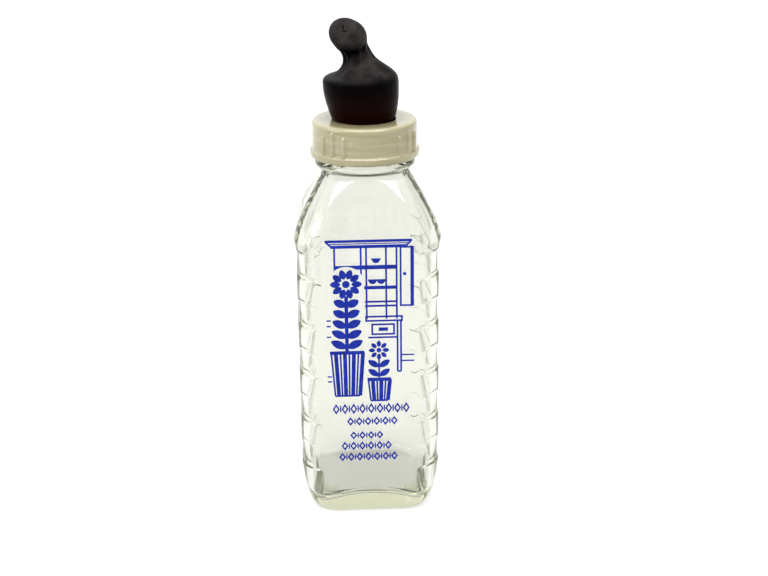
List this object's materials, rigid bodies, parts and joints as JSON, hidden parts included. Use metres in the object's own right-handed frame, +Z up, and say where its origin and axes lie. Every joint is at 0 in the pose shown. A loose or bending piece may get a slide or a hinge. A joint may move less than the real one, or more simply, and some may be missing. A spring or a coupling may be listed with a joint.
{
  "type": "glass feeding bottle",
  "caption": "Square clear glass feeding bottle with stepped grip bands, a printed front panel, a screw collar and a hollow rubber teat.",
  "frame": {"origin": "centre of the base, on the surface the bottle stands on", "axes": "+Z up along the neck, -Y out of the printed front panel, +X to the right of someone facing the print"},
  "size_m": [0.0598, 0.0581, 0.2054],
  "materials": {
    "clear_glass": "clear, smooth, slightly grey-green",
    "blue_enamel": "fired-on enamel ink, satin",
    "cream_plastic": "yellowed translucent moulded plastic, satin",
    "dark_rubber": "aged hardened rubber with a dusty bloom"
  },
  "bodies": {
    "bottle": {"glass_bottle": "clear_glass", "enamel_picture": "blue_enamel", "enamel_caption": "blue_enamel"},
    "teat": {"rubber_teat": "dark_rubber"},
    "collar": {"screw_collar": "cream_plastic"}
  },
  "joints": [
    {"name": "teat_rise", "type": "slide", "parent": "bottle", "child": "teat", "axis": [0, 0, 1], "range_m": [0, 0.0101]},
    {"name": "collar_turn", "type": "hinge", "parent": "teat", "child": "collar", "pos_m": [0, 0, 0.157], "axis": [0, 0, 1], "range_deg": [0, 720]}
  ],
  "couplings": [
    {"joint": "teat_rise", "follows": "collar_turn", "m_per_rad": 0.00079577}
  ]
}
